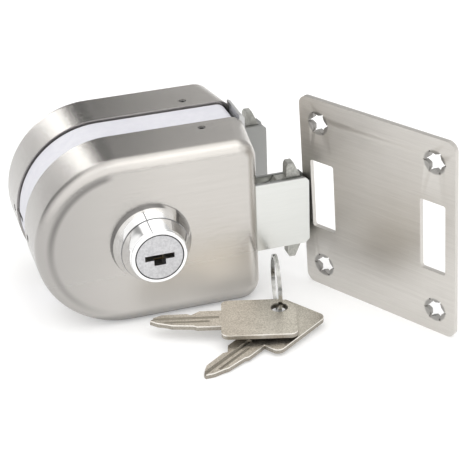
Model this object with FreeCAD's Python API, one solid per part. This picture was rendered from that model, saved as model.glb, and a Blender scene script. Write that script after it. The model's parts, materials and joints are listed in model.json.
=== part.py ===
import FreeCAD
import Part
import math
import os

os.makedirs("parts", exist_ok=True)

V = FreeCAD.Vector

# All lengths in millimetres. Origin on the cylinder axis at the middle of the glass,
# +X towards the bolts, +Y to the room behind the glass, +Z up.

# Covers: two deep D shaped pans, round at the left, square at the right
cover_height = 55.0
cover_length = 69.5
cover_depth = 19.7
cover_sheet = 1.2
cover_edge_round = 4.4
cover_corner_round = 4.8
cover_flare = 1.75
face_setback = 0.4
face_corner_round = 7.0
cover_gap = 13.3
hole_play = 0.1

# Lock cylinder and its tapered collar
collar_steps = [(12.6, 0.0), (12.4, 1.2), (11.9, 2.6), (10.6, 5.3), (10.25, 5.45),
                (10.45, 5.6), (9.55, 7.9), (8.7, 9.95), (8.35, 10.3)]
collar_height = 10.3
collar_lip_depth = 1.35
plug_head_radius = 7.4
plug_head_play = 0.1
plug_head_length = 1.35
plug_radius = 6.2
plug_play = 0.05
plug_rear = 16.4
housing_wall = 1.5
housing_rear = 17.6
housing_flange_radius = 9.3
housing_flange_depth = 2.0
keyway_width = 9.0
keyway_height = 1.7
keyway_notch_width = 3.6
keyway_notch_depth = 1.8
wafer_count = 5
wafer_pitch = 3.0
wafer_first = 32.6
wafer_thickness = 0.6
wafer_slot_play = 0.05
wafer_length = 11.6
wafer_width = 6.4
wafer_window_length = 9.2
wafer_window_width = 1.9
wafer_notch_width = 3.8
wafer_notch_reach = 2.7
wafer_round = 6.1
wafer_groove_depth = 1.0
plug_clip_radius = 7.3
plug_clip_groove_radius = 5.5
plug_clip_thickness = 0.6
plug_clip_play = 0.3
clip_gap = 5.0
tail_radius = 6.0
tail_thickness = 1.6
tail_tang_length = 6.4
tail_tang_width = 2.4
tail_tang_depth = 1.3
tail_screw_offset = 4.2
tail_screw_radius = 0.8
tail_screw_head_radius = 1.4
tail_screw_head_depth = 0.8
tail_screw_length = 2.0

# Spindle, pinions and the turn on the room side
spindle_square = 4.5
pinion_module = 0.9
pinion_teeth = 12
pinion_width = 3.0
pinion_front = 14.25
tooth_addendum = 0.72
tooth_dedendum = 1.0
tooth_root_half = 0.75
tooth_tip_half = 0.3
tang_play = 0.3
tang_slot_depth = 1.05
turn_stem_radius = 5.0
turn_stem_play = 0.05
turn_stem_start = 19.2
turn_bearing_start = 20.5
turn_rosette_height = 5.4
turn_rosette_lip = 0.45
turn_disc_radius = 9.2
turn_disc_thickness = 2.6
turn_disc_lift = 0.6
turn_grip_length = 17.0
turn_grip_width = 5.4
turn_grip_height = 9.5
turn_grip_round = 1.6
turn_screw_radius = 1.2
turn_clip_radius = 6.8
turn_clip_groove = 4.3

# Bolts: a folded case with a slot, two hooking claws on pins, a slide plate with a rack
bolt_thickness = 6.2
bolt_height = 22.8
bolt_spacing = 41.5
bolt_reach = 16.8
bolt_tail_setback = 8.0
bolt_nose_chamfer = 1.3
bolt_wall = 1.0
bolt_tail_web = 1.25
bolt_opening_play = 0.35
bolt_foot_setback = 7.75
bolt_foot_length = 6.0
bolt_foot_half = 8.8
claw_pivot_setback = 4.0
claw_pivot_z = 5.0
claw_boss_radius = 2.4
claw_pin_radius = 1.0
claw_pin_play = 0.05
claw_thickness = 3.5
claw_outline = [(0.0, 2.4), (9.6, 4.6), (10.8, 6.4), (13.9, 6.4), (14.0, 10.2), (14.5, 11.2),
                (16.4, 11.2), (18.1, 7.4), (18.8, 5.9), (18.4, 5.1), (10.0, 0.4), (0.0, -2.4)]
slide_left = -10.0
slide_setback = 1.85
slide_half = 10.5
slide_front = 13.75
slide_thickness = 2.0
window_left = -7.2
window_setback = 10.45
window_top = 6.6
rack_first = -2
rack_last = 6
rivet_radius = 1.2
rivet_head_radius = 2.0
rivet_head_height = 0.6
rivet_setback = 4.75
rivet_z = 6.6
rivet_depth = 3.9

# Chassis plates, guides, gaskets and the block that fills the cut in the glass
chassis_inset = 1.3
chassis_front = 10.65
chassis_rear = 7.65
chassis_hole_radius = 6.1
lug_front = 13.9
lug_half_width = 3.2
lug_depth = 4.6
guide_from_tip = 14.75
guide_setback = 3.75
guide_play = 0.3
guide_width = 2.4
guide_lip = 1.5
guide_lip_thickness = 1.0
guide_screw_from_tip = 19.75
guide_screw_setback = 9.75
guide_screw_radius = 1.0
guide_screw_head_radius = 1.15
guide_screw_head_height = 0.9
detent_thickness = 0.4
detent_width = 1.6
detent_foot = 2.4
detent_from_tip = 8.95
detent_wave = [(0.0, -14.6), (1.2, -12.4), (2.4, -11.5), (3.6, -12.6), (4.6, -14.4)]
gasket_inner = 6.0
gasket_inset = 1.4
tongue_left = -10.0
tongue_half = 11.0
tongue_play = 0.35
web_proud = 0.25
web_thickness = 1.7
web_corner = 1.6
clamp_left = -6.3
clamp_setback = 10.75
clamp_level = 7.2
clamp_radius = 2.0
clamp_head_radius = 3.0
clamp_head_depth = 2.2
clamp_socket = 2.5
clamp_socket_depth = 1.3
bush_radius = 5.0
bush_length = 4.0
bush_flange_radius = 5.9
bush_flange_thickness = 0.8
bush_bore_radius = 3.25
cover_screw_setback = 13.1
cover_screw_from_rim = 4.25
cover_screw_radius = 1.2
cover_screw_length = 5.0
cover_screw_sink = 0.3
cover_screw_socket = 1.3

# Packing block that stands in the place of the glass
packing_thickness = 11.4
packing_inset = 0.7
packing_end_gap = 0.6
packing_corner = 3.4
packing_notch_height = 2.2
packing_notch_width = 5.2
packing_notch_depth = 2.6
tab_setback = 0.2

# Strike plate standing on the floor beside the lock
floor_z = -27.5
strike_width = 57.3
strike_height = 65.6
strike_thickness = 1.5
strike_corner = 3.0
strike_slot_width = 9.0
strike_slot_height = 23.45
strike_slot_spacing = 41.46
strike_slot_corner = 0.8
strike_hole_spacing_x = 43.0
strike_hole_spacing_z = 50.0
strike_star_points = 6
strike_star_radius = 3.6
strike_star_valley = 2.4
strike_star_dish = 0.7
strike_star_relief = 0.35
strike_lean = 3.1
strike_beyond_bolt = 1.0
strike_edge_inset = 1.607
strike_yaw = -60.1

# Keys and ring
key_thickness = 1.6
key_bow_length = 22.8
key_bow_width = 20.0
key_bow_round = 2.2
key_bow_cut = 4.2
key_blade_length = 21.6
key_blade_width = 8.7
key_hole_radius = 2.65
key_hole_from_end = 5.0
key_hole_from_side = 5.0
key_groove = (-1.3, 0.1)
key_short_groove = (1.1, 2.1)
key_groove_depth = 0.45
key_cuts = [(-15.0, -4.35), (-12.4, -2.2), (-11.2, -3.0), (-3.6, -2.8), (-2.2, -2.0), (-0.3, -0.9),
            (0.0, 0.0), (-2.4, 1.6), (-5.2, 2.4), (-6.7, 3.1), (-13.3, 3.7), (-14.4, 4.35)]
key_rest_lift = 0.03
key_stack_play = 0.32
lower_key_yaw = 212.036
lower_key_tip = (5.038, -63.493)
lower_key_tilt = 2.741
upper_key_yaw = 163.345
upper_hole_from_lower = (-0.661, -3.440)
ring_radius = 9.185
ring_radial = 1.0
ring_axial = 1.2
ring_from_hole = (1.277, 4.831)
ring_yaw = 78.973
ring_line = 0.14
ring_line_depth = 0.3
ring_step = 1.4

# Derived places
half_height = cover_height / 2
cover_left = -cover_length / 2
cover_right = cover_length / 2
rim_y = cover_gap / 2
face_y = rim_y + cover_depth
bolt_y = bolt_spacing / 2
bolt_near = bolt_y - bolt_thickness / 2
bolt_far = bolt_y + bolt_thickness / 2
bolt_nose_x = cover_right + bolt_reach
bolt_tail_x = cover_right - bolt_tail_setback
bolt_foot_start = cover_right - bolt_foot_setback
bolt_foot_end = bolt_foot_start + bolt_foot_length
claw_pivot_x = cover_right - claw_pivot_setback
slide_right = cover_right - slide_setback
window_right = cover_right - window_setback
rivet_x = cover_right - rivet_setback
guide_start = cover_left + guide_from_tip
guide_end = cover_right - guide_setback
guide_screw_x = (cover_left + guide_screw_from_tip, cover_right - guide_screw_setback)
detent_path = [(cover_left + detent_from_tip + x, z) for x, z in detent_wave]
web_outer_x = cover_right + cover_flare + web_proud
web_inner_x = web_outer_x - web_thickness
clamp_points = [(x, z) for x in (clamp_left, cover_right - clamp_setback)
                for z in (clamp_level, -clamp_level)]
cover_screw_x = cover_right - cover_screw_setback
packing_right = web_inner_x - packing_end_gap
strike_edge_x = bolt_nose_x + strike_beyond_bolt
strike_edge_y = -bolt_y + strike_edge_inset
strike_x = strike_edge_x + strike_width / 2 * math.cos(math.radians(strike_yaw))
strike_y = strike_edge_y + strike_width / 2 * math.sin(math.radians(strike_yaw))
collar_tip_y = face_y + collar_height
pitch_radius = pinion_module * pinion_teeth / 2
rack_pitch = math.pi * pinion_module
housing_radius = plug_radius + plug_play + housing_wall
housing_front = collar_tip_y - plug_head_length - plug_clip_play
slide_rear = slide_front - slide_thickness
lower_key_place = V(lower_key_tip[0], lower_key_tip[1], floor_z + key_rest_lift)
lower_key_slope = math.radians(lower_key_tilt)
lower_key_top = (key_thickness * math.cos(lower_key_slope)
                 + (key_blade_length + key_bow_length) * math.sin(lower_key_slope))
key_hole = V(key_hole_from_end - key_blade_length - key_bow_length,
             key_hole_from_side - key_bow_width / 2, 0)


# From a key's tip to its ring hole as the key lies
def tip_to_hole(slope, yaw):
    along = key_hole.x * math.cos(slope)
    turn = math.radians(yaw)
    return V(along * math.cos(turn) - key_hole.y * math.sin(turn),
             along * math.sin(turn) + key_hole.y * math.cos(turn), 0)


lower_hole = lower_key_place + tip_to_hole(lower_key_slope, lower_key_yaw)
upper_hole = lower_hole + V(upper_hole_from_lower[0], upper_hole_from_lower[1],
                            lower_key_top + key_stack_play)
upper_key_place = upper_hole - tip_to_hole(0, upper_key_yaw)
ring_place = V(lower_hole.x + ring_from_hole[0], lower_hole.y + ring_from_hole[1],
               floor_z + ring_radius + key_rest_lift)
cover_screw_y = rim_y + cover_screw_from_rim


def box(x0, x1, y0, y1, z0, z1):
    return Part.makeBox(x1 - x0, y1 - y0, z1 - z0, V(x0, y0, z0))


def rod_y(radius, y0, y1, x=0.0, z=0.0):
    return Part.makeCylinder(radius, y1 - y0, V(x, y0, z), V(0, 1, 0))


def rod_z(radius, z0, z1, x, y):
    return Part.makeCylinder(radius, z1 - z0, V(x, y, z0), V(0, 0, 1))


def rod_x(radius, x0, x1, y, z):
    return Part.makeCylinder(radius, x1 - x0, V(x0, y, z), V(1, 0, 0))


def other_side(shape):
    return shape.mirror(V(0, 0, 0), V(0, 1, 0))


def below(shape):
    return shape.mirror(V(0, 0, 0), V(0, 0, 1))


def joined(shapes):
    return shapes[0].fuse(list(shapes[1:])).removeSplitter()


def export(name, shape):
    shape.exportStep("parts/" + name + ".step")


def prism_xz(points, y0, y1):
    corners = [V(x, y0, z) for x, z in points]
    face = Part.Face(Part.makePolygon(corners + corners[:1]))
    return face.extrude(V(0, y1 - y0, 0))


def turned(points):
    corners = [V(r, y, 0) for r, y in points]
    face = Part.Face(Part.makePolygon(corners + corners[:1]))
    return face.revolve(V(0, 0, 0), V(0, 1, 0), 360)


# D outline, half round at the left end, rounded corners at the right end
def d_edges(left, right, half, corner, y):
    middle = left + half
    s = corner * (1 - math.sqrt(0.5))
    top = V(middle, y, half)
    low = V(middle, y, -half)
    edges = [Part.Arc(top, V(left, y, 0), low).toShape()]
    low_a = V(right - corner, y, -half)
    low_b = V(right, y, -half + corner)
    top_b = V(right, y, half - corner)
    top_a = V(right - corner, y, half)
    edges.append(Part.makeLine(low, low_a))
    edges.append(Part.Arc(low_a, V(right - s, y, -half + s), low_b).toShape())
    edges.append(Part.makeLine(low_b, top_b))
    edges.append(Part.Arc(top_b, V(right - s, y, half - s), top_a).toShape())
    edges.append(Part.makeLine(top_a, top))
    return edges


def d_block(left, right, half, corner, y0, y1):
    outline = Part.Wire(d_edges(left, right, half, corner, y0))
    return Part.Face(outline).extrude(V(0, y1 - y0, 0))


# Solid between two D outlines whose round ends match; its flat sides stay flat
def d_flared(near, far, length):
    faces = [Part.Face(Part.Wire(near)), Part.Face(Part.Wire(far))]
    faces.append(near[0].extrude(V(0, length, 0)))
    for a, b in zip(near[1:], far[1:]):
        if isinstance(a.Curve, Part.Line):
            first, second = a.Vertexes[0].Point, a.Vertexes[1].Point
            third, fourth = b.Vertexes[1].Point, b.Vertexes[0].Point
            faces.append(Part.Face(Part.makePolygon([first, second, third, fourth, first])))
        else:
            faces.append(Part.makeRuledSurface(a, b))
    skin = Part.Compound(faces)
    skin.sewShape()
    return Part.Solid(skin.Shells[0])


def edges_at_y(shape, y):
    found = []
    for edge in shape.Edges:
        b = edge.BoundBox
        if abs(b.YMin - y) < 0.001 and abs(b.YMax - y) < 0.001:
            found.append(edge)
    return found


# The right side flares out from the face to the rim, and its corners get tighter
def pan_outline(inset, y):
    share = (y + face_y) / cover_depth
    right = cover_right - face_setback + share * (cover_flare + face_setback)
    corner = face_corner_round + share * (cover_corner_round - face_corner_round)
    return d_edges(cover_left + inset, right - inset, half_height - inset, corner - inset, y)


def d_pan(inset, y_front, y_back, edge_round):
    block = d_flared(pan_outline(inset, y_front), pan_outline(inset, y_back), y_back - y_front)
    return block.makeFillet(edge_round, edges_at_y(block, y_front))


def screw_places(radius, length):
    y = -cover_screw_y
    top = rod_z(radius, half_height - length, half_height, cover_screw_x, y)
    tip = rod_x(radius, cover_left, cover_left + length, y, 0)
    return [top, below(top), tip]


def cover(hole_radius):
    outer = d_pan(0.0, -face_y, -rim_y, cover_edge_round)
    inner = d_pan(cover_sheet, -face_y + cover_sheet, -rim_y + 1, cover_edge_round - cover_sheet)
    shell = outer.cut(inner)
    opening_half = bolt_height / 2 + bolt_opening_play
    opening = box(cover_right - cover_sheet - 3, cover_right + cover_flare, -bolt_far - guide_play,
                  -bolt_near + guide_play, -opening_half, opening_half)
    hole = rod_y(hole_radius, -face_y - 1, -face_y + cover_sheet + 1)
    holes = screw_places(cover_screw_radius, cover_screw_length)
    return shell.cut([opening, hole] + holes)


def collar(steps, height, tip_radius, lip_depth):
    outside = [(radius, -face_y - rise) for radius, rise in steps]
    lip_y = -face_y - height
    inside = [(tip_radius, lip_y), (tip_radius, lip_y + lip_depth),
              (housing_radius, lip_y + lip_depth), (housing_radius, -face_y)]
    return turned(outside + inside)


def cylinder_housing():
    tube = rod_y(housing_radius, -housing_front, -housing_rear)
    flange_y = face_y - cover_sheet
    flange = rod_y(housing_flange_radius, -flange_y, -flange_y + housing_flange_depth)
    bore = rod_y(plug_radius + plug_play, -housing_front - 1, -housing_rear + 1)
    reach = plug_radius + wafer_groove_depth
    groove_half = wafer_width / 2 + wafer_slot_play
    first = -wafer_first - wafer_pitch / 2
    last = -wafer_first + wafer_pitch * (wafer_count - 0.5)
    groove = box(-reach, reach, first, last, -groove_half, groove_half)
    return tube.fuse(flange).cut([bore, groove]).removeSplitter()


def keyway(y0, y1):
    slot = box(-keyway_width / 2, keyway_width / 2, y0, y1, -keyway_height / 2, keyway_height / 2)
    notch_low = -keyway_height / 2 - keyway_notch_depth
    notch = box(-keyway_notch_width / 2, keyway_notch_width / 2, y0, y1, notch_low, 0)
    return slot.fuse(notch)


def wafer_middle(index):
    return -wafer_first + index * wafer_pitch


def tail_screw_sites():
    return [tail_screw_offset, -tail_screw_offset]


def plug():
    head = rod_y(plug_head_radius, -collar_tip_y, -collar_tip_y + plug_head_length)
    body = rod_y(plug_radius, -collar_tip_y, -plug_rear)
    shape = head.fuse(body)
    cuts = [keyway(-collar_tip_y - 1, -plug_rear + 1)]
    slot_half = wafer_thickness / 2 + wafer_slot_play
    z_half = wafer_width / 2 + wafer_slot_play
    for index in range(wafer_count):
        y = wafer_middle(index)
        cuts.append(box(-plug_radius - 1, plug_radius + 1, y - slot_half, y + slot_half,
                        -z_half, z_half))
    clip_y = -housing_rear + plug_clip_play
    ring = rod_y(plug_radius + 1, clip_y, clip_y + plug_clip_thickness)
    cuts.append(ring.cut(rod_y(plug_clip_groove_radius, clip_y, clip_y + plug_clip_thickness)))
    for z in tail_screw_sites():
        cuts.append(rod_y(tail_screw_radius, -plug_rear - tail_screw_length, -plug_rear + 1, 0, z))
    return shape.cut(cuts)


def wafers():
    shapes = []
    for index in range(wafer_count):
        y = wafer_middle(index)
        plate = box(-wafer_length / 2, wafer_length / 2, y - wafer_thickness / 2,
                    y + wafer_thickness / 2, -wafer_width / 2, wafer_width / 2)
        window = box(-wafer_window_length / 2, wafer_window_length / 2, y - 1, y + 1,
                     -wafer_window_width / 2, wafer_window_width / 2)
        notch = box(-wafer_notch_width / 2, wafer_notch_width / 2, y - 1, y + 1,
                    -wafer_notch_reach, 0)
        shapes.append(plate.common(rod_y(wafer_round, y - 1, y + 1)).cut([window, notch]))
    return Part.makeCompound(shapes)


def snap_clip(y0, inner, outer, thickness):
    ring = rod_y(outer, y0, y0 + thickness).cut(rod_y(inner, y0, y0 + thickness))
    mouth = box(-clip_gap / 2, clip_gap / 2, y0, y0 + thickness, -outer - 1, 0)
    return ring.cut(mouth)


def tailpiece():
    back = -plug_rear + tail_thickness
    disc = rod_y(tail_radius, -plug_rear, back)
    tang = box(-tail_tang_length / 2, tail_tang_length / 2, back, back + tail_tang_depth,
               -tail_tang_width / 2, tail_tang_width / 2)
    shape = disc.fuse(tang)
    for z in tail_screw_sites():
        shape = shape.cut(rod_y(tail_screw_radius, -plug_rear, back, 0, z))
        shape = shape.cut(rod_y(tail_screw_head_radius, back - tail_screw_head_depth, back, 0, z))
    return shape.removeSplitter()


def tail_screws():
    back = -plug_rear + tail_thickness
    shapes = []
    for z in tail_screw_sites():
        head = rod_y(tail_screw_head_radius, back - tail_screw_head_depth, back, 0, z)
        shank = rod_y(tail_screw_radius, -plug_rear - tail_screw_length, back, 0, z)
        slot = box(-tail_screw_head_radius, tail_screw_head_radius, back - 0.35, back, z - 0.2, z + 0.2)
        shapes.append(head.fuse(shank).cut(slot))
    return Part.makeCompound(shapes)


def spindle():
    half = spindle_square / 2
    front = -pinion_front + tang_slot_depth
    return box(-half, half, front, face_y + turn_rosette_height + turn_disc_thickness, -half, half)


# Teeth point along the direction given by the angle, the first one straight down
def pinion(y0):
    y1 = y0 + pinion_width
    root = pitch_radius - tooth_dedendum
    tip = pitch_radius + tooth_addendum
    shape = rod_y(root, y0, y1)
    for index in range(pinion_teeth):
        tooth = prism_xz([(-tooth_root_half, -root + 0.4), (tooth_root_half, -root + 0.4),
                          (tooth_tip_half, -tip), (-tooth_tip_half, -tip)], y0, y1)
        tooth.rotate(V(0, 0, 0), V(0, 1, 0), 360.0 * index / pinion_teeth)
        shape = shape.fuse(tooth)
    half = spindle_square / 2
    return shape.cut(box(-half, half, y0 - 1, y1 + 1, -half, half)).removeSplitter()


def front_pinion():
    length = tail_tang_length / 2 + tang_play
    width = tail_tang_width / 2 + tang_play
    slot = box(-length, length, -pinion_front - 1, -pinion_front + tang_slot_depth, -width, width)
    return pinion(-pinion_front).cut(slot)


def turn_bearing():
    front = face_y + turn_rosette_height - turn_rosette_lip
    tube = rod_y(housing_radius, turn_bearing_start, front)
    flange_y = face_y - cover_sheet
    flange = rod_y(housing_flange_radius, flange_y - housing_flange_depth, flange_y)
    bore = rod_y(turn_stem_radius + turn_stem_play, turn_bearing_start - 1, front + 1)
    return tube.fuse(flange).cut(bore).removeSplitter()


def rosette():
    steps = [step for step in collar_steps if step[1] <= turn_rosette_height]
    steps = steps[:-1] + [(collar_steps[3][0], turn_rosette_height)]
    shape = collar(steps, turn_rosette_height, turn_stem_radius + 3 * hole_play, turn_rosette_lip)
    return other_side(shape)


def turn_knob():
    base = face_y + turn_rosette_height + turn_disc_lift
    stem = rod_y(turn_stem_radius, turn_stem_start, base + 1)
    disc = rod_y(turn_disc_radius, base, base + turn_disc_thickness)
    disc = disc.makeFillet(0.8, edges_at_y(disc, base + turn_disc_thickness))
    grip = box(-turn_grip_length / 2, turn_grip_length / 2, base + 1,
               base + turn_disc_thickness + turn_grip_height,
               -turn_grip_width / 2, turn_grip_width / 2)
    grip = grip.makeFillet(turn_grip_round, [e for e in grip.Edges if e.BoundBox.YMax > base + 2])
    half = spindle_square / 2
    socket = box(-half, half, turn_stem_start - 1, face_y + turn_rosette_height
                 + turn_disc_thickness, -half, half)
    clip_y = turn_bearing_start - plug_clip_play - plug_clip_thickness
    ring = rod_y(turn_stem_radius + 1, clip_y, clip_y + plug_clip_thickness)
    ring = ring.cut(rod_y(turn_clip_groove, clip_y, clip_y + plug_clip_thickness))
    screw = rod_x(turn_screw_radius, half, turn_disc_radius, base + turn_disc_thickness / 2, 0)
    return stem.fuse([disc, grip]).cut([socket, ring, screw]).removeSplitter()


def turn_set_screw():
    y = face_y + turn_rosette_height + turn_disc_lift + turn_disc_thickness / 2
    shape = rod_x(turn_screw_radius, spindle_square / 2, turn_disc_radius - 0.5, y, 0)
    socket = rod_x(turn_screw_radius / 2, turn_disc_radius - 1.7, turn_disc_radius, y, 0)
    return shape.cut(socket)


def bolt():
    half = bolt_height / 2
    c = bolt_nose_chamfer
    body = prism_xz([(bolt_tail_x, -half), (bolt_nose_x - c, -half), (bolt_nose_x, -half + c),
                     (bolt_nose_x, half - c), (bolt_nose_x - c, half), (bolt_tail_x, half)],
                    -bolt_far, -bolt_near)
    inner = claw_pivot_z + claw_boss_radius + 2 * guide_play
    slot = box(bolt_tail_x + bolt_tail_web, bolt_nose_x + 1, -bolt_far + bolt_wall,
               -bolt_near - bolt_wall, -half - 1, half + 1)
    stop = box(bolt_tail_x, claw_pivot_x + 0.6, -bolt_far, -bolt_near, inner, half)
    slot = slot.cut([stop, below(stop)])
    foot = box(bolt_foot_start, bolt_foot_end, -bolt_near, -slide_front,
               -bolt_foot_half, bolt_foot_half)
    pins = [rod_y(claw_pin_radius, -bolt_far - 1, -bolt_near, claw_pivot_x, side * claw_pivot_z)
            for side in (1, -1)]
    rivets = [rod_y(rivet_radius, -slide_front - rivet_depth + 0.6, -slide_front,
                    rivet_x, side * rivet_z) for side in (1, -1)]
    return body.fuse(foot).cut([slot] + pins + rivets).removeSplitter()


def claw():
    outline = [(claw_pivot_x + x, claw_pivot_z + z) for x, z in claw_outline]
    y0 = -bolt_y - claw_thickness / 2
    y1 = -bolt_y + claw_thickness / 2
    arm = prism_xz(outline, y0, y1)
    boss = rod_y(claw_boss_radius, y0, y1, claw_pivot_x, claw_pivot_z)
    hole = rod_y(claw_pin_radius + claw_pin_play, y0, y1, claw_pivot_x, claw_pivot_z)
    return arm.fuse(boss).cut(hole).removeSplitter()


def claw_pins():
    return Part.makeCompound([rod_y(claw_pin_radius, -bolt_far, -bolt_near, claw_pivot_x,
                                    side * claw_pivot_z) for side in (1, -1)])


def slide():
    plate = box(slide_left, slide_right, -slide_front, -slide_rear, -slide_half, slide_half)
    root = -pitch_radius - tooth_dedendum
    tip = -pitch_radius + tooth_addendum
    plate = plate.cut(box(window_left, window_right, -slide_front, -slide_rear, root, window_top))
    teeth = []
    for index in range(rack_first, rack_last + 1):
        x = (index + 0.5) * rack_pitch
        teeth.append(prism_xz([(x - tooth_root_half, root - 0.4), (x + tooth_root_half, root - 0.4),
                               (x + tooth_tip_half, tip), (x - tooth_tip_half, tip)],
                              -slide_front, -slide_rear))
    rivets = [rod_y(rivet_radius, -slide_front, -slide_rear, rivet_x, side * rivet_z)
              for side in (1, -1)]
    return joined([plate] + teeth).cut(rivets)


def rivets():
    shapes = []
    for side in (1, -1):
        shank = rod_y(rivet_radius, -slide_front - rivet_depth + 0.6, -slide_rear,
                      rivet_x, side * rivet_z)
        head = rod_y(rivet_head_radius, -slide_rear, -slide_rear + rivet_head_height,
                     rivet_x, side * rivet_z)
        shapes.append(shank.fuse(head))
    return Part.makeCompound(shapes)


def chassis(threaded):
    inset = chassis_inset
    plate = d_block(cover_left + inset, cover_right - inset, half_height - inset,
                    cover_corner_round - inset, -chassis_front, -chassis_rear)
    z0 = half_height - inset - lug_depth
    lug = box(cover_screw_x - lug_half_width, cover_screw_x + lug_half_width, -lug_front,
              -chassis_rear, z0, half_height - inset)
    tip_lug = box(cover_left + inset + 0.3, cover_left + inset + lug_depth, -lug_front,
                  -chassis_rear, -lug_half_width, lug_half_width)
    cuts = screw_places(cover_screw_radius, cover_screw_length)
    cuts.append(rod_y(chassis_hole_radius, -chassis_front - 1, -chassis_rear + 1))
    for x, z in clamp_points:
        cuts.append(rod_y(clamp_radius, -chassis_front - 1, -chassis_rear + 1, x, z))
        if not threaded:
            cuts.append(rod_y(clamp_head_radius, -chassis_front,
                              -chassis_front + clamp_head_depth, x, z))
    for x in guide_screw_x:
        for z in guide_screw_rows():
            cuts.append(rod_y(guide_screw_radius, -chassis_front - 1, -chassis_rear - 0.5, x, z))
    return joined([plate, lug, below(lug), tip_lug]).cut(cuts)


def guide_screw_rows():
    middle = slide_half + guide_play + guide_width / 2
    return [middle, -middle]


def guides():
    inner = slide_half + guide_play
    outer = inner + guide_width
    front = -slide_front - guide_play
    rail = box(guide_start, guide_end, front, -chassis_front, inner, outer)
    lip = box(guide_start, guide_end, front - guide_lip_thickness, front, inner - guide_lip, outer)
    shelf = box(guide_start, guide_end, -slide_rear + guide_play, -chassis_front,
                inner - guide_lip, outer)
    upper = joined([rail, lip, shelf])
    holes = [rod_y(guide_screw_radius, front - 5, -chassis_rear, x, guide_screw_rows()[0])
             for x in guide_screw_x]
    upper = upper.cut(holes)
    return Part.makeCompound([upper, below(upper)])


def guide_screws():
    seat = -slide_front - guide_play - guide_lip_thickness
    shapes = []
    for x in guide_screw_x:
        for z in guide_screw_rows():
            head = rod_y(guide_screw_head_radius, seat - guide_screw_head_height, seat, x, z)
            shank = rod_y(guide_screw_radius, seat, -chassis_rear - 0.5, x, z)
            shapes.append(head.fuse(shank))
    return Part.makeCompound(shapes)


def detent_spring():
    t = detent_thickness
    y0 = -slide_front + 0.2
    outline = detent_path + [(x, z - t) for x, z in reversed(detent_path)]
    strip = prism_xz(outline, y0, y0 + detent_width)
    start_x, start_z = detent_path[0]
    foot = box(start_x - t, start_x + detent_width, y0, -chassis_front, start_z - detent_foot, start_z)
    return strip.fuse(foot).removeSplitter()


def gasket():
    inset = gasket_inset
    sheet = d_block(cover_left + inset, cover_right - inset, half_height - inset,
                    cover_corner_round - inset, -chassis_rear, -gasket_inner)
    notch = box(tongue_left - tongue_play, cover_right, -chassis_rear - 1, -gasket_inner + 1,
                -tongue_half - tongue_play, tongue_half + tongue_play)
    return sheet.cut(notch)


def cover_screws():
    shapes = []
    for side in (1, -1):
        for screw in screw_places(cover_screw_radius, cover_screw_length):
            shapes.append(screw if side > 0 else other_side(screw))
    sink = half_height - cover_screw_sink
    sunk = []
    for shape in shapes:
        middle = shape.CenterOfMass
        y = middle.y
        if abs(middle.z) > 1:
            outer = math.copysign(1, middle.z)
            cap = rod_z(cover_screw_radius + 1, min(outer * sink, outer * half_height),
                        max(outer * sink, outer * half_height), cover_screw_x, y)
            end = outer * sink
            socket = rod_z(cover_screw_socket / 2, min(end, end - outer * 1.5),
                           max(end, end - outer * 1.5), cover_screw_x, y)
        else:
            cap = rod_x(cover_screw_radius + 1, cover_left, cover_left + cover_screw_sink, y, 0)
            socket = rod_x(cover_screw_socket / 2, cover_left, cover_left + 1.8, y, 0)
        sunk.append(shape.cut([cap, socket]))
    return Part.makeCompound(sunk)


def core_block():
    tongue = box(tongue_left, web_inner_x, -chassis_rear, chassis_rear, -tongue_half, tongue_half)
    web = box(web_inner_x, web_outer_x, -rim_y, rim_y, -half_height, half_height)
    corners = [e for e in web.Edges if abs(e.BoundBox.XMin - web_outer_x) < 0.001
               and abs(abs(e.BoundBox.ZMin) - half_height) < 0.001
               and abs(e.BoundBox.ZMax - e.BoundBox.ZMin) < 0.001]
    web = web.makeFillet(web_corner, corners)
    cuts = [rod_y(bush_radius, -chassis_rear - 1, chassis_rear + 1)]
    for x, z in clamp_points:
        cuts.append(rod_y(clamp_radius, -chassis_rear - 1, chassis_rear + 1, x, z))
    return tongue.fuse(web).cut(cuts).removeSplitter()


def clamp_screws():
    shapes = []
    for x, z in clamp_points:
        head = rod_y(clamp_head_radius, -chassis_front, -chassis_front + clamp_head_depth, x, z)
        shank = rod_y(clamp_radius, -chassis_front, chassis_front, x, z)
        socket = rod_y(clamp_socket / 2, -chassis_front, -chassis_front + clamp_socket_depth, x, z)
        shapes.append(head.fuse(shank).cut(socket))
    return Part.makeCompound(shapes)


def spindle_bushes():
    tube = rod_y(bush_radius, -chassis_rear, -chassis_rear + bush_length)
    flange = rod_y(bush_flange_radius, -chassis_rear - bush_flange_thickness, -chassis_rear)
    bore = rod_y(bush_bore_radius, -chassis_front, -chassis_rear + bush_length)
    bush = tube.fuse(flange).cut(bore).removeSplitter()
    return Part.makeCompound([bush, other_side(bush)])


def glass_packing():
    half = packing_thickness / 2
    inset = packing_inset
    block = d_block(cover_left + inset, packing_right, half_height - inset, packing_corner, -half, half)
    slot = box(tongue_left - tongue_play, packing_right + 1, -half - 1, half + 1,
               -tongue_half - tongue_play, tongue_half + tongue_play)
    pull = box(cover_left, cover_left + inset + packing_notch_depth, half - packing_notch_width, half + 1,
               -packing_notch_height / 2, packing_notch_height / 2)
    return block.cut([slot, pull])


# Rubber tab that fills the notch at the round end of the packing block
def pull_tab():
    half = packing_thickness / 2
    start = cover_left + packing_inset
    return box(start + tab_setback, start + packing_notch_depth, half - packing_notch_width, half,
               -packing_notch_height / 2, packing_notch_height / 2)


def round_uprights(shape, radius):
    edges = [e for e in shape.Edges if e.BoundBox.YMax - e.BoundBox.YMin > strike_thickness / 2
             and e.BoundBox.XMax - e.BoundBox.XMin < 0.001 and e.BoundBox.ZMax - e.BoundBox.ZMin < 0.001]
    return shape.makeFillet(radius, edges)


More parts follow.
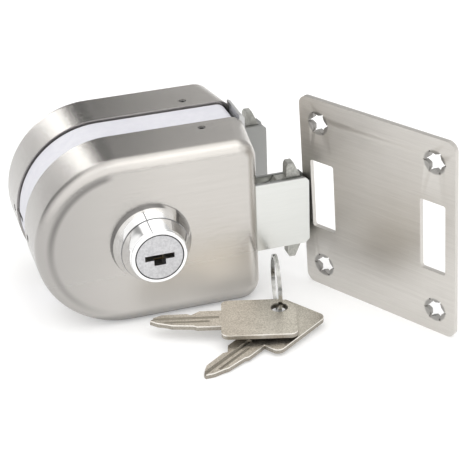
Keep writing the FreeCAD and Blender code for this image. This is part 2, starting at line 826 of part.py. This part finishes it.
# Star shaped hole with a small round relief at each point; the lips between the points
# are pressed back a little
def star_hole(x, z):
    corners = []
    ends = []
    for index in range(2 * strike_star_points):
        radius = strike_star_valley if index % 2 else strike_star_radius
        angle = math.pi * index / strike_star_points
        place = (x + radius * math.cos(angle), z + radius * math.sin(angle))
        corners.append(place)
        if index % 2 == 0:
            ends.append(rod_y(strike_star_relief, -1, 2 * strike_thickness, place[0], place[1]))
    star = prism_xz(corners, -1, 2 * strike_thickness)
    dish = Part.makeCone(strike_star_radius, strike_star_valley / 2, strike_star_dish,
                         V(x, 0, z), V(0, 1, 0))
    lip = dish.copy()
    lip.translate(V(0, strike_thickness, 0))
    return star.fuse(ends), dish, lip


def placed(shape, tilt, yaw, place):
    moved = shape.copy()
    moved.rotate(V(0, 0, 0), V(0, 1, 0), tilt)
    moved.rotate(V(0, 0, 0), V(0, 0, 1), yaw)
    moved.translate(place)
    return moved


def strike_plate():
    half = strike_width / 2
    plate = round_uprights(box(-half, half, 0, strike_thickness, 0, strike_height), strike_corner)
    middle = strike_height / 2
    for side in (1, -1):
        x = side * strike_slot_spacing / 2
        slot = box(x - strike_slot_width / 2, x + strike_slot_width / 2, -1, strike_thickness + 1,
                   middle - strike_slot_height / 2, middle + strike_slot_height / 2)
        plate = plate.cut(round_uprights(slot, strike_slot_corner))
    for side in (1, -1):
        for level in (1, -1):
            x = side * strike_hole_spacing_x / 2
            z = middle + level * strike_hole_spacing_z / 2
            star, dish, lip = star_hole(x, z)
            plate = plate.cut(dish).fuse(lip).cut(star)
    plate = plate.removeSplitter()
    plate.rotate(V(0, 0, 0), V(1, 0, 0), strike_lean)
    return placed(plate, 0, strike_yaw, V(strike_x, strike_y, floor_z + key_rest_lift))


# Key lying flat, tip at the origin, bow towards -X, ring hole on the -Y side
def key():
    blade = key_blade_length
    half = key_blade_width / 2
    end = -blade - key_bow_length
    side = key_bow_width / 2
    bow = box(end, -blade, -side, side, 0, key_thickness)
    uprights = [e for e in bow.Edges if e.BoundBox.ZMax - e.BoundBox.ZMin > key_thickness / 2]
    rounds = [e for e in uprights if e.BoundBox.XMin > end + 1 or e.BoundBox.YMin > 0]
    bow = bow.makeFillet(key_bow_round, rounds)
    cut_corner = [e for e in bow.Edges if e.BoundBox.ZMax - e.BoundBox.ZMin > key_thickness / 2
                  and e.BoundBox.XMax < end + 0.01 and e.BoundBox.YMax < -side + 0.01]
    bow = bow.makeChamfer(key_bow_cut, cut_corner)
    outline = [(-blade - 1, -half)] + key_cuts + [(-blade - 1, half)]
    corners = [V(x, y, 0) for x, y in outline]
    stem = Part.Face(Part.makePolygon(corners + corners[:1])).extrude(V(0, 0, key_thickness))
    floor = key_thickness - key_groove_depth
    groove = box(-blade + 0.6, 1, key_groove[0], key_groove[1], floor, key_thickness + 1)
    step = box(-blade + 3.5, key_cuts[-5][0] - 2, key_short_groove[0], key_short_groove[1],
               floor, key_thickness + 1)
    hole = rod_z(key_hole_radius, -1, key_thickness + 1, key_hole.x, key_hole.y)
    return joined([bow, stem]).cut([groove, step, hole])


def key_ring():
    half = ring_axial / 2
    inner = ring_radius - ring_radial
    shape = rod_y(ring_radius, -half, half).cut(rod_y(inner, -half, half))
    line = rod_y(ring_radius + 1, -ring_line / 2, ring_line / 2)
    outer_line = line.cut(rod_y(ring_radius - ring_line_depth, -1, 1))
    inner_line = rod_y(inner + ring_line_depth, -ring_line / 2, ring_line / 2)
    step_a = box(-ring_step / 2, ring_step / 2, 0, half, ring_radius - 2 * ring_line_depth, ring_radius + 1)
    step_b = box(-ring_step / 2, ring_step / 2, -half, 0, inner - 1, inner + 2 * ring_line_depth)
    shape = shape.cut([outer_line, inner_line])
    for cut, turn in ((step_a, 12), (step_b, 40)):
        cut.rotate(V(0, 0, 0), V(0, 1, 0), turn)
        shape = shape.cut(cut)
    shape.rotate(V(0, 0, 0), V(0, 0, 1), ring_yaw)
    shape.translate(ring_place)
    return shape


export("front_cover", cover(housing_radius + hole_play))
export("rear_cover", other_side(cover(housing_radius + hole_play)))
export("front_bezel", collar(collar_steps, collar_height, plug_head_radius + plug_head_play,
                             collar_lip_depth))
export("rear_rosette", rosette())
export("cylinder_housing", cylinder_housing())
export("plug", plug())
export("wafers", wafers())
export("plug_clip", snap_clip(-housing_rear + plug_clip_play, plug_clip_groove_radius,
                              plug_clip_radius, plug_clip_thickness))
export("tailpiece", tailpiece())
export("tail_screws", tail_screws())
export("spindle", spindle())
export("front_pinion", front_pinion())
export("rear_pinion", other_side(pinion(-pinion_front)))
export("turn_bearing", turn_bearing())
export("turn_knob", turn_knob())
export("turn_set_screw", turn_set_screw())
export("turn_clip", snap_clip(turn_bearing_start - plug_clip_play - plug_clip_thickness,
                              turn_clip_groove, turn_clip_radius, plug_clip_thickness))
export("spindle_bushes", spindle_bushes())
export("core_block", core_block())
export("clamp_screws", clamp_screws())
export("cover_screws", cover_screws())
export("glass_packing", glass_packing())
export("pull_tab", pull_tab())
export("strike_plate", strike_plate())
export("lower_key", placed(key(), lower_key_tilt, lower_key_yaw, lower_key_place))
export("upper_key", placed(key(), 0, upper_key_yaw, upper_key_place))
export("key_ring", key_ring())

# Everything that both halves have is made in front and mirrored to the room side
halves = {
    "chassis": (chassis(False), chassis(True)),
    "guides": (guides(), guides()),
    "guide_screws": (guide_screws(), guide_screws()),
    "detent_spring": (detent_spring(), detent_spring()),
    "gasket": (gasket(), gasket()),
    "bolt": (bolt(), bolt()),
    "slide": (slide(), slide()),
    "rivets": (rivets(), rivets()),
    "claw_pins": (claw_pins(), claw_pins()),
    "upper_claw": (claw(), claw()),
    "lower_claw": (below(claw()), below(claw())),
}
for name, pair in halves.items():
    export("front_" + name, pair[0])
    export("rear_" + name, other_side(pair[1]))
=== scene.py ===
import json
import math
import bpy
from mathutils import Euler, Matrix, Vector

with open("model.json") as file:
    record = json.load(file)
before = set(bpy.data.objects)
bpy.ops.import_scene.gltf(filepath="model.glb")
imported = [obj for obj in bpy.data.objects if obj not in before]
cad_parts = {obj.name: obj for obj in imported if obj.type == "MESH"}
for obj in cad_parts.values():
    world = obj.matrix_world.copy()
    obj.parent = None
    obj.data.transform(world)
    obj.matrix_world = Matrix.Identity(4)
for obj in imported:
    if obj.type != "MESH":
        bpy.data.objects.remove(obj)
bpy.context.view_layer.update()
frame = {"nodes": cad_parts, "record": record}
nodes = frame["nodes"]


# Lowest and highest corner of a piece, from its mesh
def corners(name):
    points = [vertex.co for vertex in nodes[name].data.vertices]
    low = Vector([min(point[axis] for point in points) for axis in range(3)])
    high = Vector([max(point[axis] for point in points) for axis in range(3)])
    return low, high


# The front cover gives the floor that it stands on, how far its face is in front of the middle of the
# glass, and the middle and radius of its round end
cover_low, cover_high = corners("front_cover")
floor_z = cover_low.z
face_y = -cover_low.y
arc_radius = (cover_high.z - cover_low.z) / 2
arc_middle = cover_low.x + arc_radius

# The strike plate leans and is turned about the upright axis; its four star holes get painted shade on their
# rims
strike_lean = math.radians(3.1)
strike_yaw = math.radians(-60.1)
strike_hole_spacing_x = 0.043
strike_hole_spacing_z = 0.050
star_reach = 0.0035
star_rim_width = 0.0007

# Which way each key's top face looks, and the keys' rounded edges and grooves
upper_key_normal = Vector((0, 0, 1))
lower_key_normal = Vector((-0.04054, -0.02537, 0.99886))
key_edge_width = 0.0004
key_groove_depth = 0.00045

# The chrome collar's seams in front of the face, which get painted shade, and the plug's radius inside the
# painted shade at its edge
collar_seam = 0.0055
collar_lip = 0.00995
plug_outline = 0.00705

# Depths of the bumps of brushed and of grainy metal, and streaks per metre along X and across
brushed_depth = 0.00006
grain_depth = 0.0001
streaks = (160, 9500, 9500)
bolt_streaks = (200, 6000, 6000)

# Tones of painted shade and painted reflection mixed into the metals
near_black = (0.06, 0.06, 0.065)
painted_shade_dark = (0.12, 0.12, 0.12)

# The colour output of a Mix node, by number, because its outputs share one name
mixed_colour = 2


# Sets or links the inputs of a node, by identifier or number
def fill(node, sockets):
    by_identifier = {socket.identifier: socket for socket in node.inputs}
    for key, value in dict(sockets).items():
        socket = node.inputs[key] if isinstance(key, int) else by_identifier[key]
        if isinstance(value, Val):
            node.id_data.links.new(value.socket, socket)
        else:
            socket.default_value = value


# Adds a node to a tree: its settings come first, then the values or links of its sockets
def add_node(tree, kind, settings=(), sockets=()):
    node = tree.nodes.new(kind)
    for name, value in dict(settings).items():
        setattr(node, name, value)
    fill(node, sockets)
    return node


def maths(tree, kind, *items):
    return Val(add_node(tree, "ShaderNodeMath", {"operation": kind}, enumerate(items)).outputs[0])


# A socket with the usual operators, so that an expression on it adds its Math nodes
class Val:
    def __init__(self, socket):
        self.socket = socket
        self.tree = socket.id_data

    def __add__(self, other):
        return maths(self.tree, "ADD", self, other)

    def __sub__(self, other):
        return maths(self.tree, "SUBTRACT", self, other)

    def __rsub__(self, other):
        return maths(self.tree, "SUBTRACT", other, self)

    def __mul__(self, other):
        return maths(self.tree, "MULTIPLY", self, other)

    def __pow__(self, other):
        return maths(self.tree, "POWER", self, other)

    def __abs__(self):
        return maths(self.tree, "ABSOLUTE", self)

    __radd__ = __add__
    __rmul__ = __mul__

    def lowest(self, other):
        return maths(self.tree, "MINIMUM", self, other)

    def highest(self, other):
        return maths(self.tree, "MAXIMUM", self, other)

    # A soft step from start to end while the value goes from low to high
    def band(self, low, high, start=0.0, end=1.0):
        node = add_node(self.tree, "ShaderNodeMapRange", {"interpolation_type": "SMOOTHSTEP"},
                        {"Value": self, "From Min": low, "From Max": high, "To Min": start, "To Max": end})
        return Val(node.outputs["Result"])


# The first tone, going over to the second as the factor rises to one
def blend(factor, first, second):
    below, above = [tone if isinstance(tone, Val) else (*tone, 1.0) for tone in (first, second)]
    node = add_node(factor.tree, "ShaderNodeMix", {"data_type": "RGBA"},
                    {"Factor_Float": factor, "A_Color": below, "B_Color": above})
    return Val(node.outputs[mixed_colour])


# One inside a thin line round a value, with soft edges
def line_at(value, middle, half):
    return abs(value - middle).band(half * 0.6, half * 1.4, 1.0, 0.0)


# One between two values, with soft edges
def between(value, low, high, soft):
    return value.band(low - soft, low + soft) * value.band(high - soft, high + soft, 1.0, 0.0)


# A finish, whose patterns lie in the piece's own coordinates
class Look:
    def __init__(self, name):
        self.material = bpy.data.materials.new(name)
        self.material.use_nodes = True
        self.tree = self.material.node_tree
        self.shader = self.tree.nodes["Principled BSDF"]
        self.point = Val(add_node(self.tree, "ShaderNodeTexCoord").outputs["Object"])
        split = add_node(self.tree, "ShaderNodeSeparateXYZ", {}, {"Vector": self.point})
        self.x, self.y, self.z = [Val(out) for out in split.outputs]

    def noise(self, scale, turn=(0, 0, 0), detail=3.0, rough=0.5):
        place = add_node(self.tree, "ShaderNodeMapping", {"vector_type": "TEXTURE"},
                         {"Vector": self.point, "Rotation": turn, "Scale": [1.0 / s for s in scale]})
        grain = add_node(self.tree, "ShaderNodeTexNoise", {},
                         {"Vector": Val(place.outputs[0]), "Scale": 1.0, "Detail": detail,
                          "Roughness": rough})
        return Val(grain.outputs["Fac"])

    def bump(self, height, strength, depth):
        node = add_node(self.tree, "ShaderNodeBump", {},
                        {"Strength": strength, "Distance": depth, "Height": height})
        return Val(node.outputs[0])

    # Fills the shader's inputs, an underscore standing for a blank, and gives the material
    def finish(self, **inputs):
        fill(self.shader, {name.replace("_", " "): value for name, value in inputs.items()})
        return self.material


# Painted shade on the rims round the strike plate's star holes
def painted_star_rim_shade(look, base):
    low, high = corners("strike_plate")
    turn = Euler((strike_lean, 0, strike_yaw)).to_matrix()
    across = turn @ Vector((strike_hole_spacing_x / 2, 0, 0))
    upward = turn @ Vector((0, 0, strike_hole_spacing_z / 2))
    for side in (-1, 1):
        for level in (-1, 1):
            hole = (low + high) / 2 + side * across + level * upward
            x, y, z = look.x - hole.x, look.y - hole.y, look.z - hole.z
            reach = (x * x + y * y + z * z) ** 0.5
            base = blend(reach.band(star_reach, star_reach + star_rim_width, 0.6, 0.0), base, painted_shade_dark)
    return base


# Painted shade on the covers: a painted reflection in a stripe inside their round edge, painted shade near
# the floor and a painted contact shadow where they meet it
def painted_edge_shade(look, base):
    stripe_radius = arc_radius - 0.0041
    stripe_half = 0.0017
    past_middle = look.x - arc_middle
    above_floor = look.z - floor_z
    from_middle = (past_middle.lowest(0.0) ** 2.0 + look.z * look.z) ** 0.5
    stripe_reflection = abs(from_middle - stripe_radius).band(0.0, stripe_half, 1.0, 0.0)
    stripe_reflection = stripe_reflection * past_middle.band(-0.00175, -0.00575) * above_floor.band(0.0215, 0.0395, 0.5, 1.0)
    stripe_reflection = stripe_reflection * above_floor.band(0.054, 0.050) * above_floor.band(0.0005, 0.0155)
    shadow = above_floor.band(0.0053, 0.0025)
    contact_shadow = above_floor.band(0.0019, 0.0005)
    # The stripe is a painted reflection of something dark in front, the band near the floor is painted
    # shade, the line at the floor a painted contact shadow
    base = blend(stripe_reflection * 0.78, base, (0.16, 0.155, 0.15))
    base = blend(shadow * 0.45, base, painted_shade_dark)
    return blend(contact_shadow * 0.93, base, (0.04, 0.04, 0.04))


# Brushed metal. Each of the painted shades goes over to another tone between two places along an axis, a
# function may add more painted shade to the colour, and rough_below is what the roughness gains toward the
# floor
def brushed(name, light, dark, rough, spread, scale, strength, turn=(0, 0, 0), painted_shades=(), painted_shading=None,
            rough_below=0.0):
    look = Look(name)
    fine = look.noise(scale, turn, rough=0.6)
    broad = look.noise([s * 0.12 for s in scale], turn, detail=2.0)
    cloud = look.noise((45, 45, 45), detail=2.0)
    mixed = fine * 0.55 + broad * 0.3 + cloud * 0.15
    base = blend(mixed.band(0.25, 0.75), dark, light)
    for axis, low, high, tone in painted_shades:
        base = blend(getattr(look, axis).band(low, high), base, tone)
    if painted_shading:
        base = painted_shading(look, base)
    roughness = mixed.band(0.2, 0.8, rough - spread, rough + spread)
    if rough_below:
        roughness = roughness + (look.z - floor_z).band(0.0215, 0.0095, 0.0, rough_below)
    return look.finish(Base_Color=base, Roughness=roughness, Metallic=1.0,
                       Normal=look.bump(fine, strength, brushed_depth))


# Cast, plated or moulded surfaces with an even grain, metal or not
def grainy(name, light, dark, rough, spread, size, strength, metallic=1.0):
    look = Look(name)
    fine = look.noise((size,) * 3, rough=0.65)
    mixed = fine * 0.6 + look.noise((size * 0.13,) * 3, detail=2.0) * 0.4
    return look.finish(Base_Color=blend(mixed.band(0.3, 0.7), dark, light), Metallic=metallic,
                       Roughness=mixed.band(0.25, 0.75, rough - spread, rough + spread),
                       Normal=look.bump(fine, strength, grain_depth))


# Key steel is grainy, with painted highlights on its rims and painted shade in its groove bottoms and
# on its sides; these are found by the height above the key's top face
def key_look(name, piece, tone, normal):
    look = Look(name)
    fine = look.noise((2300,) * 3, rough=0.65)
    mixed = fine * 0.85 + look.noise((300,) * 3, detail=2.0) * 0.15
    top = max(normal.dot(vertex.co) for vertex in nodes[piece].data.vertices)
    height = look.x * normal.x + look.y * normal.y + look.z * normal.z - top
    rim_highlight = height.band(-0.00004, -0.00010) * height.band(-key_edge_width, -0.00036)
    groove_shade = line_at(height, -key_groove_depth, 0.00003)
    side = height.band(-0.00048, -0.00056)
    light = (0.80 * tone, 0.755 * tone, 0.68 * tone)
    dark = (0.46 * tone, 0.42 * tone, 0.36 * tone)
    base = blend(mixed.band(0.3, 0.7), dark, light)
    base = blend(rim_highlight * 0.8, base, (0.95, 0.93, 0.88))
    base = blend(groove_shade * 0.65, base, (0.12, 0.11, 0.09))
    base = blend(side * 0.6, base, (0.16, 0.145, 0.12))
    return look.finish(Base_Color=base, Roughness=mixed.band(0.25, 0.75, 0.27, 0.45), Metallic=1.0,
                       Normal=look.bump(fine, 0.5, grain_depth))


# The chrome collar has painted shade along its seams and at its foot against the cover, and its bright
# cones get painted reflections of a room's dark corners: around the foot to the upper left, and in patches
# to the right, between angles from +X toward +Z
def chrome_look():
    look = Look("chrome")
    wear = look.noise((300,) * 3)
    depth = abs(look.y) - face_y
    angle = maths(look.tree, "ARCTAN2", look.z, look.x) * math.degrees(1)
    crease_shade = line_at(depth, collar_seam, 0.00022) * 0.85
    crease_shade = crease_shade.highest(line_at(depth, collar_lip, 0.00012) * 0.35)
    crease_shade = crease_shade.highest(depth.band(0.0003, 0.0008, 0.5, 0.0))
    foot_reflection = depth.band(0.0017, 0.0020, 0.74, 0.0) * look.x.band(0.0055, 0.0035)
    foot_reflection = foot_reflection * look.z.band(-0.0085, -0.004)
    outer_cone = depth.band(0.0052, 0.0058, 1.0, 0.0)
    inner_cone = depth.band(0.0092, 0.0097, 1.0, 0.0) * (1.0 - outer_cone)
    reflection_patches = [(outer_cone, 44, 50, 0.8), (outer_cone, 14, 44, 0.6), (outer_cone, -12, 10, 0.68),
               (inner_cone, 26, 60, 0.42), (inner_cone, 19, 25, 0.9), (inner_cone, -8, 16, 0.5)]
    room_reflection = sum(cone * between(angle, low, high, 0.7) * share for cone, low, high, share in reflection_patches)
    # Painted shade and painted reflections, drawn in near black
    dark = crease_shade.highest(foot_reflection).highest(room_reflection)
    shine = blend(wear.band(0.3, 0.7), (0.90, 0.90, 0.90), (0.94, 0.94, 0.94))
    return look.finish(Base_Color=blend(dark, shine, near_black), Metallic=1.0,
                       Roughness=wear.band(0.3, 0.7, 0.035, 0.065))


# The plug's face is satin, with painted shade at its edge where it turns in the collar
def plug_look():
    look = Look("plug_nickel")
    fine = look.noise((1300,) * 3, rough=0.65)
    radius = (look.x * look.x + look.z * look.z) ** 0.5
    satin = blend(fine.band(0.3, 0.7), (0.50, 0.50, 0.515), (0.64, 0.64, 0.655))
    edge_shade = radius.band(plug_outline, plug_outline + 0.00015)
    return look.finish(Base_Color=blend(edge_shade, satin, (0.03, 0.03, 0.035)), Metallic=1.0,
                       Roughness=fine.band(0.25, 0.75, 0.3, 0.38),
                       Normal=look.bump(fine, 0.15, grain_depth))


def ring_look():
    look = Look("ring_steel")
    wear = look.noise((500,) * 3)
    return look.finish(Base_Color=blend(wear.band(0.3, 0.7), (0.30, 0.30, 0.285), (0.42, 0.42, 0.405)),
                       Roughness=wear.band(0.3, 0.7, 0.12, 0.2), Metallic=1.0)


# Painted shades are axis, start, end and tone. The covers get painted light toward the floor and painted
# shade toward their left end; the rear bolt and the tops of the bolts get painted shade
cover_painted_shades = [("z", -0.002, -0.018, (0.68, 0.657, 0.625)), ("x", 0.016, -0.045, (0.39, 0.377, 0.365))]
bolt_painted_shades = [("y", -0.002, 0.004, (0.40, 0.405, 0.40)), ("z", 0.0110, 0.0113, (0.34, 0.345, 0.34))]

# Light tone, dark tone, roughness and its spread, and the scale and strength of the streaks or grain
looks = {
    "cover_steel": brushed("cover_steel", (0.60, 0.578, 0.55), (0.54, 0.518, 0.49), 0.20, 0.03,
                           streaks, 0.55, painted_shades=cover_painted_shades, painted_shading=painted_edge_shade,
                           rough_below=0.28),
    "strike_steel": brushed("strike_steel", (0.66, 0.64, 0.61), (0.55, 0.53, 0.50), 0.33, 0.05,
                            streaks, 0.3, (0, 0, strike_yaw), painted_shading=painted_star_rim_shade),
    "bolt_steel": brushed("bolt_steel", (0.75, 0.76, 0.74), (0.70, 0.71, 0.69), 0.36, 0.03,
                          bolt_streaks, 0.08, painted_shades=bolt_painted_shades),
    "spring_steel": brushed("spring_steel", (0.5, 0.5, 0.51), (0.4, 0.4, 0.41), 0.3, 0.05,
                            streaks, 0.2),
    "screw_steel": grainy("screw_steel", (0.66, 0.66, 0.66), (0.55, 0.55, 0.56), 0.32, 0.06, 900, 0.1),
    "zinc": grainy("zinc", (0.60, 0.61, 0.62), (0.47, 0.48, 0.49), 0.5, 0.08, 1500, 0.25),
    "claw_zinc": grainy("claw_zinc", (0.56, 0.56, 0.53), (0.30, 0.30, 0.28), 0.48, 0.1, 1500, 0.5),
    "web_metal": grainy("web_metal", (0.66, 0.66, 0.66), (0.52, 0.52, 0.52), 0.35, 0.05, 1100, 0.2),
    "brass": grainy("brass", (0.74, 0.60, 0.34), (0.64, 0.50, 0.26), 0.35, 0.06, 1100, 0.1),
    "screw_dark": grainy("screw_dark", (0.26, 0.26, 0.26), (0.14, 0.14, 0.14), 0.5, 0.08, 1500, 0.1),
    "packing": grainy("packing", (0.66, 0.66, 0.70), (0.60, 0.60, 0.65), 0.6, 0.05, 400, 0.05, metallic=0.0),
    "nylon": grainy("nylon", (0.78, 0.78, 0.75), (0.70, 0.70, 0.67), 0.55, 0.05, 500, 0.05, metallic=0.0),
    "rubber": grainy("rubber", (0.035, 0.035, 0.037), (0.02, 0.02, 0.02), 0.75, 0.06, 900, 0.1,
                     metallic=0.0),
    "chrome": chrome_look(),
    "plug_nickel": plug_look(),
    "ring_steel": ring_look(),
}
# The lower key is the same steel drawn at 0.9 of the upper key's tones, as painted shade
key_looks = {"upper_key": key_look("key_nickel", "upper_key", 1.0, upper_key_normal),
             "lower_key": key_look("key_nickel_shaded", "lower_key", 0.9, lower_key_normal)}

# Round faces of the solids are shaded smooth, their edges stay sharp
smooth_sizes = {"Weld distance": 1e-6, "Sharp angle": math.radians(25)}


def smooth_group():
    group = bpy.data.node_groups.new("smooth_faces", "GeometryNodeTree")
    group.interface.new_socket("Geometry", in_out="INPUT", socket_type="NodeSocketGeometry")
    for name in smooth_sizes:
        group.interface.new_socket(name, in_out="INPUT", socket_type="NodeSocketFloat")
    group.interface.new_socket("Geometry", in_out="OUTPUT", socket_type="NodeSocketGeometry")
    solid, weld, sharp = [Val(out) for out in add_node(group, "NodeGroupInput").outputs[:3]]
    angle = Val(add_node(group, "GeometryNodeInputMeshEdgeAngle").outputs["Unsigned Angle"])
    sharper = add_node(group, "FunctionNodeCompare", {"operation": "GREATER_THAN"},
                       {"A": angle, "B": sharp})
    welded = add_node(group, "GeometryNodeMergeByDistance", {}, {"Geometry": solid, "Distance": weld})
    faces = add_node(group, "GeometryNodeSetShadeSmooth", {}, {"Geometry": Val(welded.outputs[0])})
    edges = add_node(group, "GeometryNodeSetShadeSmooth", {"domain": "EDGE"},
                     {"Geometry": Val(faces.outputs[0]), "Selection": Val(sharper.outputs[0]),
                      "Shade Smooth": False})
    add_node(group, "NodeGroupOutput", {}, {0: Val(edges.outputs[0])})
    return group


smoothing = smooth_group()
slot_of = {item["node"]: item["material_slot"] for item in frame["record"]["subparts"]}
for name, piece in nodes.items():
    smooth = piece.modifiers.new("smooth", "NODES")
    smooth.node_group = smoothing
    for socket in smoothing.interface.items_tree:
        if socket.name in smooth_sizes:
            smooth[socket.identifier] = smooth_sizes[socket.name]
    piece.data.materials.clear()
    piece.data.materials.append(key_looks[name] if name in key_looks else looks[slot_of[name]])

# The keys have lightly rounded edges
for name in key_looks:
    edge = nodes[name].modifiers.new("edge", "BEVEL")
    edge.width = key_edge_width
    edge.segments = 3
    edge.limit_method = "ANGLE"
    edge.angle_limit = math.radians(40)

# Plain pale floor
floor_size = 8
bpy.ops.mesh.primitive_plane_add(size=floor_size, location=(0, 0, floor_z))
floor = bpy.context.object
floor.name = "floor"
paper = Look("floor_paper").finish(Base_Color=(0.72, 0.72, 0.72, 1), Roughness=0.9,
                                   Emission_Color=(1, 1, 1, 1), Emission_Strength=0.3)
floor.data.materials.append(paper)


# Studio around the part: pale walls, a soft box overhead, a bright window behind to the left and
# darker patches of wall, one of them where the viewer stands. Patches are compass angles from +Y to
# +X, then heights, in degrees. The camera itself sees a plain white backdrop
wall_level = 1.05
window_gain = 2.6


def studio():
    world = bpy.data.worlds.new("studio")
    bpy.context.scene.world = world
    world.use_nodes = True
    tree = world.node_tree
    direction = Val(add_node(tree, "ShaderNodeTexCoord").outputs["Generated"])
    split = add_node(tree, "ShaderNodeSeparateXYZ", {}, {"Vector": direction})
    x, y, z = [Val(out) for out in split.outputs]
    compass = maths(tree, "ARCTAN2", x, y) * math.degrees(1)
    height = maths(tree, "ARCSINE", z) * math.degrees(1)

    def patch(left, right, low, high, soft):
        return between(compass, left, right, soft) * between(height, low, high, soft)

    window = patch(-14.5, -7, 0, 48, 1.5)
    gap = patch(-5, 12, 0, 55, 1.5)
    back_wall = patch(9, 60, 0, 46, 2.0)
    viewer = patch(-180, -150, 0, 16, 4.0) + patch(172, 190, 0, 16, 4.0)
    sides = patch(58, 150, 0, 50, 5.0) * 0.4 + patch(-68, -38, -5, 56, 3.0) * 0.65
    seam = abs(x + 0.1).band(0.015, 0.03, 0.85, 0.0) * z.band(0.78, 0.82)
    level = window * window_gain + wall_level
    for shadow in (gap * 0.8, back_wall * 0.38, viewer * 0.6, sides):
        level = level * (1.0 - shadow)
    front = y.band(-0.2, 0.1, 1.0, 0.0) * z.band(-0.05, 0.35)
    overhead = z.band(0.75, 0.95) * 0.5 + front * 0.55
    total = (level + overhead) * (1.0 - seam)
    seen = Val(add_node(tree, "ShaderNodeLightPath").outputs["Is Camera Ray"])
    strength = add_node(tree, "ShaderNodeMix", {}, {"Factor_Float": seen, "A_Float": total, "B_Float": 1.0})
    fill(tree.nodes["Background"], {"Color": (1.0, 0.995, 0.985, 1), "Strength": Val(strength.outputs[0])})


studio()
view = bpy.context.scene.view_settings
view.view_transform = "Standard"
view.look = "None"

# Camera at the photograph's place, from the outline of the covers, the collar and the strike plate
picture_size = 474
focal_pixels = 1508.75
sensor_width = 36
nearest = 0.01
azimuth = math.radians(16.54)
elevation = math.radians(28.53)
roll = math.radians(2.09)
eye = Vector((-0.08872, -0.41607, 0.21731))
forward = Vector((math.sin(azimuth) * math.cos(elevation), math.cos(azimuth) * math.cos(elevation),
                  -math.sin(elevation)))
right = forward.cross(Vector((0, 0, 1))).normalized()
up = right.cross(forward)
side = right * math.cos(roll) - up * math.sin(roll)
head = right * math.sin(roll) + up * math.cos(roll)
camera_data = bpy.data.cameras.new("camera")
camera_data.sensor_width = sensor_width
camera_data.lens = sensor_width * focal_pixels / picture_size
camera_data.clip_start = nearest
camera = bpy.data.objects.new("camera", camera_data)
bpy.context.scene.collection.objects.link(camera)
camera.matrix_world = Matrix((
    (side.x, head.x, -forward.x, eye.x),
    (side.y, head.y, -forward.y, eye.y),
    (side.z, head.z, -forward.z, eye.z),
    (0, 0, 0, 1)))
bpy.context.scene.camera = camera
